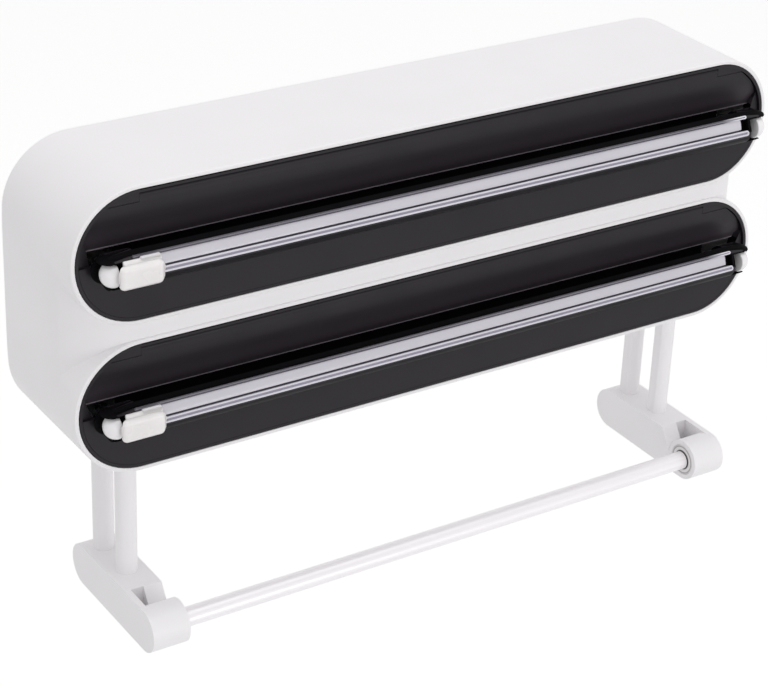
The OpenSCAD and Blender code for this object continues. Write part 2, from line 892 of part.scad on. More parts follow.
// Clear rail with two beads and a hidden channel for the runner
module rail(level)
    color([0.8, 0.82, 0.9, 0.6])
        tier(level)
            translate([0, -bar_out, bar_z])
                difference() {
                    union() {
                        along_x(rail_l)
                            rotate(-rail_tilt)
                                translate([-rail_face, -rail_h / 2])
                                    square([rail_t, rail_h]);
                        along_x(rail_l)
                            rotate(-rail_tilt)
                                for (u = [rail_h / 2 - bead_w / 2, -rail_h / 2 + bead_w / 2])
                                    translate([-rail_face - bead_h, u - bead_w / 2])
                                        square([bead_h + merge, bead_w]);
                    }
                    along_x(rail_l + 2 * over)
                        rotate(-rail_tilt) {
                            translate([-rail_face - over, -groove_off - groove_w / 2])
                                square([over + channel_in + merge, groove_w]);
                            translate([-rail_face + channel_in, -groove_off - channel_w / 2])
                                square([channel_d, channel_w]);
                        }
                    for (side = [left, right])
                        on_side(side)
                            translate([rail_l / 2 - band_short, 0, 0])
                                rotate([90, 0, 90])
                                    linear_extrude(band_short + over)
                                        rotate(-rail_tilt)
                                            translate([-rail_face - 2 * bead_h, groove_w])
                                                square([rail_t / 2, rail_h]);
                }

// Moves into the parked runner's frame on the rail
module cutter_frame(level)
    tier(level)
        translate([cutter_x, -bar_out, bar_z])
            children();

// A point of the rail's frame: its distance w from the bar's axis and its place u up the face
function on_face(w, u) = [
    u * sin(rail_tilt) - w * cos(rail_tilt),
    u * cos(rail_tilt) + w * sin(rail_tilt)
];

// Section of the grip: a thick pad in front and a thin tab over the rail
module grip_section()
    polygon([
        [on_face(grip_w0, -rail_h / 2)[0], -cutter_low],
        on_face(grip_w0, -rail_h / 2),
        on_face(grip_w0, cutter_high),
        on_face(grip_w0 + cutter_tab_t, cutter_high),
        on_face(grip_w0 + cutter_tab_t, cutter_high / 2),
        [-cutter_front + cutter_bevel, cutter_pad_z],
        [-cutter_front, cutter_pad_z - cutter_bevel],
        [-cutter_front, -cutter_low + cutter_bevel],
        [-cutter_front + cutter_bevel, -cutter_low]
    ]);

// Translucent grip of the slide cutter
module cutter_grip(level)
    color([0.9, 0.9, 0.92, 0.9])
        cutter_frame(level)
            difference() {
                translate([-runner_shift, 0, 0])
                    intersection() {
                        along_x(cutter_w)
                            grip_section();
                        translate([0, -2 * cutter_front, (grip_top + merge - cutter_low) / 2])
                            along_y(0, 2 * cutter_front)
                                round_rect(cutter_w, grip_top + merge + cutter_low, cutter_corner_r);
                    }
                along_x(neck_w + 2 * fit)
                    rotate(-rail_tilt)
                        translate([-grip_w0 - neck_in - fit, -groove_off - groove_w / 2])
                            square([neck_in + fit + over, groove_w]);
                along_x(blade_l + 2 * fit)
                    rotate(-rail_tilt)
                        translate([blade_dip - rail_face - blade_h - fit, -groove_off - blade_t / 2 - fit])
                            square([blade_h + fit, blade_t + 2 * fit]);
            }

// Runner in the rail's channel, with its neck in the grip
module cutter_runner(level)
    color("white")
        cutter_frame(level) {
            along_x(runner_w)
                rotate(-rail_tilt)
                    translate([-rail_face + channel_in + run_gap, -groove_off - channel_w / 2 + run_gap])
                        square([channel_d - 2 * run_gap, channel_w - 2 * run_gap]);
            along_x(neck_w)
                rotate(-rail_tilt)
                    translate([-grip_w0 - neck_in, -groove_off - groove_w / 2 + run_gap])
                        square([grip_w0 + neck_in - rail_face + channel_in + channel_d / 2, groove_w - 2 * run_gap]);
        }

// Blade with a point at each end and a gap for the neck
module cutter_blade(level)
    color("silver")
        cutter_frame(level)
            difference() {
                along_x(blade_l)
                    rotate(-rail_tilt)
                        translate([blade_dip - rail_face - blade_h, -groove_off - blade_t / 2])
                            square([blade_h, blade_t]);
                along_x(neck_w + 2 * run_gap)
                    rotate(-rail_tilt)
                        translate([-grip_w0 - neck_in - run_gap, -groove_off - groove_w])
                            square([blade_h + over, 2 * groove_w]);
            }

// Bracket with its two legs: outer plate, block, barrel and pocket
module bracket(side)
    color("white")
        on_side(side)
            difference() {
                union() {
                    translate([bracket_x + bracket_w / 2, 0, bracket_z])
                        along_x(bracket_w)
                            bracket_section();
                    translate([bracket_x + bracket_w - plate_t / 2, 0, bracket_z])
                        along_x(plate_t)
                            translate([bracket_front + bracket_l / 2, 0])
                                stadium(bracket_l, bracket_r);
                    for (y = leg_ys)
                        translate([leg_x, y, bracket_top - bracket_r])
                            intersection() {
                                cylinder(r = leg_r, h = bracket_r + leg_h + leg_sink - fit);
                                translate([-leg_flat_share * leg_r, -leg_r, 0])
                                    cube([2 * leg_r, leg_d, 2 * leg_h]);
                            }
                }
                span(
                    [bracket_x + bracket_w - plate_t - pocket_w, block_end_y - pocket_l / 3, bracket_z - bracket_r + pocket_floor],
                    [bracket_x + bracket_w - plate_t, block_end_y - pocket_l / 3 + pocket_l, bracket_top + over]
                );
                translate([bracket_x - over, rod_y, bracket_z])
                    rotate([0, 90, 0]) {
                        cylinder(d = bush_flange_d + 2 * fit, h = over + bush_flange_t);
                        cylinder(r = bush_r + fit, h = over + bush_l + fit);
                    }
                for (y = leg_ys)
                    translate([leg_x, y, base_z + leg_sink - screw_l])
                        cylinder(d = screw_d, h = 2 * screw_l);
            }

// Section of a bracket beside its outer plate
module bracket_section() {
    translate([bracket_front + bracket_r, 0])
        circle(bracket_r);
    translate([-bracket_back - bracket_r, 0])
        circle(bracket_r);
    translate([bracket_front + bracket_r, -bracket_r])
        square([bracket_l - 2 * bracket_r, bracket_r]);
    polygon([
        [-bracket_back - bracket_r, -bracket_r],
        [-bracket_back - bracket_r, bracket_r],
        [block_end_y + slope_share * bracket_r, bracket_r],
        [block_end_y, 0],
        [block_end_y, -bracket_r]
    ]);
}

// Flanged bush in a bracket's barrel
module bush(side)
    color("dimgray")
        on_side(side)
            translate([bracket_x, rod_y, bracket_z])
                rotate([0, 90, 0])
                    difference() {
                        union() {
                            cylinder(d = bush_flange_d, h = bush_flange_t);
                            cylinder(r = bush_r, h = bush_l);
                        }
                        translate([0, 0, -over])
                            cylinder(r = spigot_r + pin_clearance, h = bush_l + 2 * over);
                    }

// Puts a shape on the rod's axis, which runs along X
module on_rod(x)
    translate([x, rod_y, bracket_z])
        rotate([0, 90, 0])
            children();

// Steel tube of the rod, with a lip at its right end that keeps the plunger in
module rod_tube()
    color("silver")
        on_rod(-rod_end)
            difference() {
                cylinder(r = rod_r, h = 2 * rod_end);
                translate([0, 0, -over])
                    cylinder(r = rod_in_r, h = 2 * rod_end - rod_lip_t + over);
                translate([0, 0, rod_end])
                    cylinder(r = spigot_r + pin_clearance, h = 2 * rod_end);
            }

// Plug with the left spigot
module rod_plug()
    color("white")
        on_rod(-rod_end) {
            cylinder(r = rod_in_r, h = plug_l);
            translate([0, 0, -spigot_l])
                cylinder(r = spigot_r, h = spigot_l + merge);
        }

// Seat of the spring inside the tube
module rod_seat()
    color("gray")
        on_rod(seat_x - seat_t)
            cylinder(r = rod_in_r, h = seat_t);

// Spring that pushes the plunger out, at its pressed length on its seat
module rod_spring()
    color("silver")
        translate([seat_x, rod_y, bracket_z])
            coil(rod_in_r - rod_wire_d / 2 - free_gap, rod_wire_d, rod_spring_l, rod_spring_curls);

// Plunger with the right spigot
module rod_plunger()
    color("white")
        on_rod(head_end - plunger_head_l) {
            cylinder(r = rod_in_r - pin_clearance, h = plunger_head_l - free_gap);
            cylinder(r = spigot_r, h = plunger_head_l + rod_lip_t + spigot_l);
        }

casing();
back_plate();
shelf();
back_screws();
leg_screws();
hinge_pins();
bezel(upper);  // bezel_upper
door(upper);  // door_upper
rail(upper);  // rail_upper
cutter_grip(upper);  // cutter_grip_upper
cutter_runner(upper);  // cutter_runner_upper
cutter_blade(upper);  // cutter_blade_upper
button(upper, left);  // button_upper_left
button(upper, right);  // button_upper_right
button_spring(upper, left);  // spring_upper_left
button_spring(upper, right);  // spring_upper_right
bezel(lower);  // bezel_lower
door(lower);  // door_lower
rail(lower);  // rail_lower
cutter_grip(lower);  // cutter_grip_lower
cutter_runner(lower);  // cutter_runner_lower
cutter_blade(lower);  // cutter_blade_lower
button(lower, left);  // button_lower_left
button(lower, right);  // button_lower_right
button_spring(lower, left);  // spring_lower_left
button_spring(lower, right);  // spring_lower_right
bracket(left);  // bracket_left
bracket(right);  // bracket_right
bush(left);  // bush_left
bush(right);  // bush_right
rod_tube();
rod_plug();
rod_seat();
rod_spring();
rod_plunger();
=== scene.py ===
"""Wall dispenser for film and kitchen roll: two film bays with black drop fronts over a roll rod.

The file follows the object as it is put together, one section for each piece or group of like
pieces. Lengths are metres in the part's own frame: the wall is Y = 0, the front faces -Y.
"""

import math

import bmesh
import bpy
from mathutils import Matrix, Vector


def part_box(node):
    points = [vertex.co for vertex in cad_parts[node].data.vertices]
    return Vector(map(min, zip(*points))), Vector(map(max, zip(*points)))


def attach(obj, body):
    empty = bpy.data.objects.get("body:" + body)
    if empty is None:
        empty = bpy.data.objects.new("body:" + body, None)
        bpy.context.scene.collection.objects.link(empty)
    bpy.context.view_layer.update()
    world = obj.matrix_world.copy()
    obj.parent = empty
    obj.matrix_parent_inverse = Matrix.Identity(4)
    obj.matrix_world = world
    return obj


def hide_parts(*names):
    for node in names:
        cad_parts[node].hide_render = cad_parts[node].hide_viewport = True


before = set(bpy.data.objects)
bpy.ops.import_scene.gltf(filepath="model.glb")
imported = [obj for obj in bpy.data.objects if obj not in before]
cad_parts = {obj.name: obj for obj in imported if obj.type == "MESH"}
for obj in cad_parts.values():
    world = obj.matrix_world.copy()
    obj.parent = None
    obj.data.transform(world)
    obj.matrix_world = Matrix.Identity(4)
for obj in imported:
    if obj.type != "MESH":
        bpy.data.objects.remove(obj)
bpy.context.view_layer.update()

# --- Camera, light and floor -----------------------------------------------------------------
# The view is from the front left, a little above, as in the photo. A broad soft light stands
# above, a weaker one low in front, and a pale room and floor fill the shadows.

eye = Vector((-0.5557, -0.8534, 0.4578))
turn, dip, lean = math.radians(33.74), math.radians(27.63), math.radians(2.39)
ahead = Vector(
    (math.sin(turn) * math.cos(dip), math.cos(turn) * math.cos(dip), -math.sin(dip))
)
level_right = Vector((math.cos(turn), -math.sin(turn), 0))
level_up = level_right.cross(ahead)
right = math.cos(lean) * level_right + math.sin(lean) * level_up
up = -math.sin(lean) * level_right + math.cos(lean) * level_up

camera = bpy.data.objects.new("camera", bpy.data.cameras.new("camera"))
camera.data.sensor_fit = "HORIZONTAL"
camera.data.sensor_width = 36
camera.data.lens = 108.95
camera.data.clip_start = 0.05
camera.data.clip_end = 60
camera.matrix_world = Matrix.Translation(eye) @ Matrix((right, up, -ahead)).transposed().to_4x4()
bpy.context.scene.collection.objects.link(camera)
bpy.context.scene.camera = camera
bpy.context.scene.view_settings.view_transform = "Standard"


def soft_light(name, place, size, watts):
    """A broad square lamp that looks at the middle of the dispenser."""
    lamp = bpy.data.lights.new(name, "AREA")
    lamp.shape = "SQUARE"
    lamp.size = size
    lamp.energy = watts
    held = bpy.data.objects.new(name, lamp)
    held.location = place
    held.rotation_euler = (-Vector(place)).to_track_quat("-Z", "Y").to_euler()
    bpy.context.scene.collection.objects.link(held)


soft_light("top_light", (0.2, -0.5, 2.3), size=2.0, watts=13.6)
soft_light("front_light", (0.5, -2.2, -0.5), size=1.2, watts=11)


def wire(node, inputs):
    """Gives a node's inputs their values, or links them to other nodes' outputs."""
    for socket, value in inputs.items():
        if isinstance(value, bpy.types.NodeSocket):
            node.id_data.links.new(value, node.inputs[socket])
        else:
            node.inputs[socket].default_value = value


def put(tree, kind, inputs=None, **settings):
    """Adds a node to a tree, with its settings and inputs."""
    node = tree.nodes.new(kind)
    for name, value in settings.items():
        setattr(node, name, value)
    wire(node, inputs or {})
    return node


def background_mask(tree):
    """1 for what the camera, a gloss or a clear part sees, and 0 for the light that is given."""
    path = put(tree, "ShaderNodeLightPath")
    mask = path.outputs["Is Camera Ray"]
    for ray in ("Is Glossy Ray", "Is Transmission Ray"):
        either = put(
            tree, "ShaderNodeMath", {0: mask, 1: path.outputs[ray]}, operation="MAXIMUM"
        )
        mask = either.outputs[0]
    return mask


room_light = 0.7
world = bpy.data.worlds.new("pale_room")
world.use_nodes = True
bpy.context.scene.world = world
room = world.node_tree
sky = room.nodes["Background"]
wire(sky, {"Color": (1, 1, 1, 1), "Strength": room_light})
seen = put(room, "ShaderNodeBackground", {"Color": (1, 1, 1, 1), "Strength": 1.0})
choose = put(
    room,
    "ShaderNodeMixShader",
    {"Fac": background_mask(room), 1: sky.outputs["Background"], 2: seen.outputs["Background"]},
)
wire(room.nodes["World Output"], {"Surface": choose.outputs["Shader"]})

floor_z = -0.62
floor_half = 8
floor_glow = 0.3
floor_mesh = bpy.data.meshes.new("floor")
floor_mesh.from_pydata(
    [
        (x * floor_half, y * floor_half, floor_z)
        for x, y in ((-1, -1), (1, -1), (1, 1), (-1, 1))
    ],
    [],
    [(0, 1, 2, 3)],
)
floor = bpy.data.objects.new("floor", floor_mesh)
bpy.context.scene.collection.objects.link(floor)
pale = bpy.data.materials.new("pale_floor")
pale.use_nodes = True
ground = pale.node_tree.nodes["Principled BSDF"]
wire(ground, {"Base Color": (0.86, 0.86, 0.86, 1), "Roughness": 0.85})
lift = put(
    pale.node_tree,
    "ShaderNodeMath",
    {0: background_mask(pale.node_tree), 1: floor_glow},
    operation="MULTIPLY",
)
glow = put(pale.node_tree, "ShaderNodeEmission", {"Strength": lift.outputs[0]})
both = put(
    pale.node_tree,
    "ShaderNodeAddShader",
    {0: ground.outputs["BSDF"], 1: glow.outputs["Emission"]},
)
wire(pale.node_tree.nodes["Material Output"], {"Surface": both.outputs["Shader"]})
floor_mesh.materials.append(pale)

# --- Casing ----------------------------------------------------------------------------------
# One white ABS moulding: two round-ended bays joined by a shallow waist between them.
# Its front rims are rounded, and the skin shows a fine grain and faint slow waves.

hair = 1e-5  # two places closer than this are the same place


def shade(piece, sharp=32):
    """Smooth shading with crisp edges, evened out towards the large faces."""
    bm = bmesh.new()
    bm.from_mesh(piece.data)
    bm.normal_update()
    for face in bm.faces:
        face.smooth = True
    for edge in bm.edges:
        edge.smooth = len(edge.link_faces) == 2 and edge.calc_face_angle(0) < math.radians(sharp)
    bm.to_mesh(piece.data)
    bm.free()
    even = piece.modifiers.new("even_normals", "WEIGHTED_NORMAL")
    even.keep_sharp = True
    even.weight = 90


def rounded_node(node, name, rounds):
    """A piece in a CAD node's shape, with the edges that each test picks rounded.

    rounds holds (test, radius, steps), and a test gets the middle of an edge.
    """
    same_point = 2e-6
    flat_angle, edge_angle = math.radians(0.4), math.radians(28)
    bm = bmesh.new()
    bm.from_mesh(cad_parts[node].data)
    bmesh.ops.remove_doubles(bm, verts=bm.verts, dist=same_point)
    for test, radius, steps in rounds:
        bmesh.ops.dissolve_limit(
            bm, angle_limit=flat_angle, verts=bm.verts[:], edges=bm.edges[:]
        )
        bm.normal_update()
        chosen = [
            edge
            for edge in bm.edges
            if len(edge.link_faces) == 2
            and edge.calc_face_angle(0) > edge_angle
            and test((edge.verts[0].co + edge.verts[1].co) / 2)
        ]
        bmesh.ops.bevel(
            bm,
            geom=chosen,
            offset=radius,
            offset_type="OFFSET",
            segments=steps,
            profile=0.5,
            affect="EDGES",
            clamp_overlap=True,
            loop_slide=True,
        )
    mesh = bpy.data.meshes.new(name)
    bm.to_mesh(mesh)
    bm.free()
    piece = bpy.data.objects.new(name, mesh)
    bpy.context.scene.collection.objects.link(piece)
    shade(piece)
    return piece


def dress(piece, *finishes):
    """Gives a piece its finishes, with the first of them all over it."""
    piece.data.materials.clear()
    for finish in finishes:
        piece.data.materials.append(finish)


def tone(red, green, blue):
    """A colour as the eye reads it, 0 to 255, turned into the renderer's own scale."""
    return tuple(
        c / 12.92 if c <= 0.04045 else ((c + 0.055) / 1.055) ** 2.4
        for c in (red / 255, green / 255, blue / 255)
    ) + (1.0,)


def node_group(name, inputs, outputs):
    """An empty group of number and vector sockets, its inputs given as name: (kind, value)."""
    group = bpy.data.node_groups.new(name, "ShaderNodeTree")
    for label, (kind, value) in inputs.items():
        made = group.interface.new_socket(label, in_out="INPUT", socket_type=kind)
        made.default_value = value
    for label in outputs:
        group.interface.new_socket(label, in_out="OUTPUT", socket_type="NodeSocketFloat")
    return group, put(group, "NodeGroupInput").outputs, put(group, "NodeGroupOutput")


# Skin of a polished moulding: a fine grain, slow waves where it shrank, and a mottled tone
skin, given, result = node_group(
    "moulded_skin",
    {
        "Grain": ("NodeSocketFloat", 2600.0),
        "Waves": ("NodeSocketFloat", 28.0),
        "Wave Share": ("NodeSocketFloat", 0.5),
        "Roughness Low": ("NodeSocketFloat", 0.3),
        "Roughness High": ("NodeSocketFloat", 0.4),
    },
    ("Height", "Roughness", "Mottle"),
)
where = put(skin, "ShaderNodeTexCoord").outputs["Object"]
grain = put(skin, "ShaderNodeTexNoise", {"Vector": where, "Scale": given["Grain"], "Detail": 3})
waves = put(skin, "ShaderNodeTexNoise", {"Vector": where, "Scale": given["Waves"], "Detail": 2})
height = put(
    skin,
    "ShaderNodeMix",
    {"Factor": given["Wave Share"], "A": grain.outputs["Fac"], "B": waves.outputs["Fac"]},
    data_type="FLOAT",
)
polish = put(
    skin,
    "ShaderNodeMapRange",
    {
        "Value": waves.outputs["Fac"],
        "From Min": 0.3,
        "From Max": 0.7,
        "To Min": given["Roughness Low"],
        "To Max": given["Roughness High"],
    },
)
wire(
    result,
    {
        "Height": height.outputs["Result"],
        "Roughness": polish.outputs["Result"],
        "Mottle": waves.outputs["Fac"],
    },
)


def moulded(name, light, dark, roughness, grain=2600.0, waves=28.0, bump=0.05, specular=0.5):
    """Moulded plastic: two near tones, a varying polish and a faint skin."""
    made = bpy.data.materials.new(name)
    made.use_nodes = True
    tree = made.node_tree
    surface = put(
        tree,
        "ShaderNodeGroup",
        {
            "Grain": grain,
            "Waves": waves,
            "Wave Share": 0.5,
            "Roughness Low": roughness[0],
            "Roughness High": roughness[1],
        },
        node_tree=skin,
    )
    tint = put(
        tree,
        "ShaderNodeMix",
        {"Factor": surface.outputs["Mottle"], "A": tone(*light), "B": tone(*dark)},
        data_type="RGBA",
    )
    lumps = put(
        tree,
        "ShaderNodeBump",
        {"Strength": bump, "Distance": 0.0004, "Height": surface.outputs["Height"]},
    )
    wire(
        tree.nodes["Principled BSDF"],
        {
            "Base Color": tint.outputs["Result"],
            "Roughness": surface.outputs["Roughness"],
            "Specular IOR Level": specular,
            "Normal": lumps.outputs["Normal"],
        },
    )
    return made


casing_low, casing_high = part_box("casing")
bezel_low, bezel_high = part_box("bezel_upper")
front_y = casing_low.y
tier_z = (bezel_low.z + bezel_high.z) / 2
tier_r = casing_high.z - tier_z
straight_x = casing_high.x - tier_r
near_skin, past_wall = 0.0005, 0.0015  # how far in from the skin an edge may or must lie


def from_middle_line(at):
    """Distance of a point from the middle line of its tier, seen from the front."""
    return math.hypot(max(0, abs(at.x) - straight_x), abs(at.z) - tier_z)


def on_front_rim(at):
    """Whether a point lies on the outer edge of the casing's front."""
    return at.y < front_y + hair and from_middle_line(at) > tier_r - near_skin


def on_mouth(at):
    """Whether a point lies on the edge of one of the casing's mouths."""
    return at.y < front_y + hair and from_middle_line(at) < tier_r - past_wall


def on_back_rim(at):
    """Whether a point lies on the casing's back edge, apart from its waist."""
    clear_of_waist = abs(at.z) > 0.03
    return at.y > -hair and clear_of_waist and from_middle_line(at) > tier_r - near_skin


white_shell = moulded(
    "white_shell", (248, 246, 248), (245, 243, 245), (0.4, 0.52), bump=0.035, specular=0.25
)
casing = rounded_node(
    "casing",
    "casing_shell",
    [(on_front_rim, 0.0014, 6), (on_mouth, 0.0003, 2), (on_back_rim, 0.0006, 3)],
)
dress(casing, white_shell)
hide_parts("casing")
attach(casing, "base")

# --- Back plate and shelf --------------------------------------------------------------------
# Flat white mouldings that aren't on show: the plate closes the back and hangs on two wall
# screws, and the shelf slides in between the bays. Both have a matt, slightly uneven skin.


def finish_node(node, material):
    """Gives a CAD node that stays in view its finish."""
    dress(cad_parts[node], material)


white_inner = moulded(
    "white_inner", (232, 231, 230), (224, 223, 222), (0.55, 0.7), grain=1500.0, bump=0.12
)
finish_node("back_plate", white_inner)
finish_node("shelf", white_inner)

# --- Screws and hinge pins -------------------------------------------------------------------
# Pan-head steel screws hold the back plate and the legs, and plain steel pins carry the
# doors. They are bright zinc-plated steel, with fine marks round the shank from drawing.

drawn, given, result = node_group(
    "drawn_lines",
    {"Along": ("NodeSocketVector", (1.0, 1.0, 1.0)), "Lines": ("NodeSocketFloat", 900.0)},
    ("Height", "Mask"),
)
stretch = put(
    drawn,
    "ShaderNodeVectorMath",
    {0: put(drawn, "ShaderNodeTexCoord").outputs["Object"], 1: given["Along"]},
    operation="MULTIPLY",
)
lines = put(
    drawn,
    "ShaderNodeTexNoise",
    {
        "Vector": stretch.outputs["Vector"],
        "Scale": given["Lines"],
        "Detail": 4,
        "Roughness": 0.65,
    },
)
strong = put(
    drawn,
    "ShaderNodeMapRange",
    {"Value": lines.outputs["Fac"], "From Min": 0.35, "From Max": 0.65},
)
wire(result, {"Height": lines.outputs["Fac"], "Mask": strong.outputs["Result"]})


def metal(name, light, dark, roughness, along, lines, metallic, bump):
    """Metal with drawing or brushing lines that run one way."""
    made = bpy.data.materials.new(name)
    made.use_nodes = True
    tree = made.node_tree
    marks = put(tree, "ShaderNodeGroup", {"Along": along, "Lines": lines}, node_tree=drawn)
    mask = marks.outputs["Mask"]
    tint = put(
        tree,
        "ShaderNodeMix",
        {"Factor": mask, "A": tone(*light), "B": tone(*dark)},
        data_type="RGBA",
    )
    polish = put(
        tree,
        "ShaderNodeMapRange",
        {"Value": mask, "To Min": roughness[0], "To Max": roughness[1]},
    )
    scored = put(
        tree,
        "ShaderNodeBump",
        {"Strength": bump, "Distance": 0.0002, "Height": marks.outputs["Height"]},
    )
    wire(
        tree.nodes["Principled BSDF"],
        {
            "Base Color": tint.outputs["Result"],
            "Metallic": metallic,
            "Roughness": polish.outputs["Result"],
            "Normal": scored.outputs["Normal"],
        },
    )
    return made


zinc_steel = metal(
    "zinc_steel",
    (206, 208, 212),
    (176, 178, 184),
    (0.22, 0.38),
    along=(1, 1, 0.1),
    lines=1400.0,
    metallic=1.0,
    bump=0.1,
)
for node in ("back_screws", "leg_screws", "hinge_pins"):
    finish_node(node, zinc_steel)

# --- Black rings -----------------------------------------------------------------------------
# A black ring is pushed into each mouth and frames the door. It is satin ABS, with a thin
# rounded front edge, two ears for the hinge pins and a flange for the doors' catches.


def satin_black(name, light, dark, roughness, specular, grain=3200.0, bump=0.05):
    """Black ABS in one of its polishes."""
    return moulded(name, light, dark, roughness, grain, 40.0, bump, specular)


def paint(piece, finishes, choose):
    """Gives each face of a piece the one of its finishes that is chosen for it."""
    dress(piece, *finishes)
    for face in piece.data.polygons:
        face.material_index = finishes.index(choose(face))


black_front = satin_black("black_front", (36, 32, 37), (30, 27, 31), (0.34, 0.46), 0.215)
# a duller, darker black laid on as painted shade: inside along the rings' tops, and in the doors'
# slots, bar hollows and bar lips
black_painted_shade = satin_black(
    "black_painted_shade", (13, 11, 14), (9, 8, 10), (0.6, 0.75), 0.05, grain=2400.0, bump=0.1
)
TIERS = {"upper": tier_z, "lower": -tier_z}
ring_r = tier_r - 0.00345
ring_thick = 0.0013
ear_top, ear_front = 0.0245, 0.0008
seam = 0.0002  # the seams round the ears and the door are drawn narrower by this


def on_ring_edge(at):
    """Whether a point lies on the outer front edge of a ring."""
    return at.y < front_y + 0.0002 and from_middle_line(at) > ring_r + 0.0005


def narrow_seams(at, z):
    """Brings a point of a ring's inner edge or ears closer to the door."""
    if abs(from_middle_line(at) - ring_r) < 2 * hair:
        middle = Vector((max(-straight_x, min(straight_x, at.x)), at.y, z))
        at += (middle - at).normalized() * seam
    elif abs(at.x) > straight_x - hair and abs(at.z - z - ear_top) < 2 * hair:
        at.z -= seam
    if abs(abs(at.x) - straight_x) < hair and abs(at.y - front_y - ear_front) < hair:
        at.x -= math.copysign(seam, at.x)


def ring_finish(at, z):
    """The finish of a face of a ring, with painted shade on its inside along its straight top."""
    along_top = abs(at.z - z - ring_r) < ring_thick and abs(at.x) < straight_x
    return black_painted_shade if along_top else black_front


for level, z in TIERS.items():
    ring = rounded_node(f"bezel_{level}", f"ring_{level}", [(on_ring_edge, 0.0003, 3)])
    for point in ring.data.vertices:
        narrow_seams(point.co, z)
    paint(ring, [black_front, black_painted_shade], lambda face: ring_finish(face.center, z))
    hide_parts(f"bezel_{level}")
    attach(ring, "base")

# --- Doors -----------------------------------------------------------------------------------
# Each door is one black moulding: a curved film guard, a lower plate and a round bar in front
# with half-round ends. The bar's lip is rounded, and the guard's lip carries a painted highlight.


def lay_over(material, mask, colour, blend="MIX"):
    """Lays a colour over a material's own colour, as strongly as the mask says."""
    base = material.node_tree.nodes["Principled BSDF"].inputs["Base Color"]
    over = put(
        material.node_tree,
        "ShaderNodeMix",
        {"Factor": mask, "A": base.links[0].from_socket, "B": colour},
        data_type="RGBA",
        blend_type=blend,
    )
    material.node_tree.links.new(over.outputs["Result"], base)


def place_on(tree, axis):
    """A point's place along one axis of the part's frame."""
    split = put(
        tree,
        "ShaderNodeSeparateXYZ",
        {"Vector": put(tree, "ShaderNodeTexCoord").outputs["Object"]},
    )
    return split.outputs[axis]


# a pale black laid on the guard's lip as a painted highlight
black_painted_highlight = satin_black("black_painted_highlight", (196, 186, 198), (184, 174, 186), (0.3, 0.4), 0.5)
# the bar's underside is duller, and its darker tone is painted shade
black_under_painted_shade = satin_black("black_under_painted_shade", (25, 22, 26), (21, 19, 23), (0.5, 0.6), 0.1)
# the guard gets painted light towards its lip, a paler tone laid over it there
black_guard = satin_black("black_guard", (36, 32, 37), (30, 27, 31), (0.34, 0.46), 0.215)
raised = put(
    black_guard.node_tree,
    "ShaderNodeMath",
    {0: place_on(black_guard.node_tree, "Z"), 1: 3 * tier_z},
    operation="ADD",
)
in_tier = put(
    black_guard.node_tree,
    "ShaderNodeMath",
    {0: raised.outputs[0], 1: 2 * tier_z},
    operation="MODULO",
)
painted_light_near_lip = put(
    black_guard.node_tree,
    "ShaderNodeMapRange",
    {"Value": in_tier.outputs[0], "From Min": 0.018, "From Max": 0.005},
)
lay_over(black_guard, painted_light_near_lip.outputs["Result"], tone(68, 62, 69))

rail_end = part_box("rail_upper")[1].x
# the bar's axis, where its round ends start, and the radii of its hollow, skin and underside
bar_y, bar_drop, bar_end_x = front_y - 0.007, -0.0005, 0.173
bar_hollow_r, bar_skin_r, bar_under_r = 0.0076, 0.0079, 0.0083
# the hood over a button: where it starts, its height over the axis, its radii and its slope
hood_y = front_y - 0.0031
hood_rise, hood_skin_r, hood_inner_r, hood_flatter = 0.0052, 0.0056, 0.0051, 0.45
# the guard's ends lie between these depths, and between these heights over the bay's middle
guard_near_y, guard_far_y, guard_end_x = front_y + 0.0005, front_y + 0.0064, 0.168
guard_low, guard_high, guard_bend = 0.0088, 0.0235, 0.02
guard_low_r, guard_high_r = 0.0284, 0.0281
guard_top, guard_top_raised, guard_corner_x = 0.02328, 0.0008, straight_x + 0.0149
guard_cut_x, guard_cut_moved_x = 0.178, 0.18005
# the guard's lip, which carries a painted highlight, and the slot below it, which carries painted
# shade
lip_low, lip_high, lip_near_y, lip_far_y = 0.0043, 0.0051, front_y + 0.004, front_y + 0.0058
slot_low, slot_high, slot_y = -0.009, 0.0042, front_y + 0.0022


def flatten_hood(at, z):
    """Makes the hood over a button a thin cap that stands just clear of the dome."""
    axis_z = z + bar_drop
    if abs(at.x) <= rail_end + 0.0001 or at.y >= hood_y or at.z <= z:
        return
    past_end = min(1, (abs(at.x) - rail_end) / (bar_end_x - rail_end))
    if abs(at.x) > bar_end_x + 0.0003 and at.z < axis_z + hood_rise:
        out = Vector((abs(at.x) - bar_end_x, at.y - bar_y))
        on_skin = math.hypot(out.length, at.z - axis_z) > bar_skin_r
        out = out.normalized() * min(out.length, hood_skin_r if on_skin else hood_inner_r)
        at.x = math.copysign(bar_end_x + out.x, at.x)
        at.y = bar_y + out.y
        at.z = axis_z + hood_rise
    elif at.z > axis_z + hood_rise:
        at.z = axis_z + hood_rise + (at.z - axis_z - hood_rise) * (1 - hood_flatter * past_end)


def widen_guard(at, z):
    """Brings the ends and the top of the guard close to the ring."""
    rise = at.z - z
    at_end = guard_near_y < at.y < guard_far_y and abs(at.x) > guard_end_x
    if at_end and guard_low < rise < guard_high:
        reach = (guard_low_r if rise < guard_bend else guard_high_r) ** 2 - rise ** 2
        at.x = math.copysign(straight_x + math.sqrt(reach), at.x)
    if abs(rise - guard_top) < 2 * hair and at.y < front_y + 0.001:
        at.z += guard_top_raised
        at.x = math.copysign(min(abs(at.x), guard_corner_x), at.x)
    by_slot = lip_low < rise < guard_low + 0.0001 and at.y > front_y
    if by_slot and abs(abs(at.x) - guard_cut_x) < 5 * hair:
        at.x = math.copysign(guard_cut_moved_x, at.x)


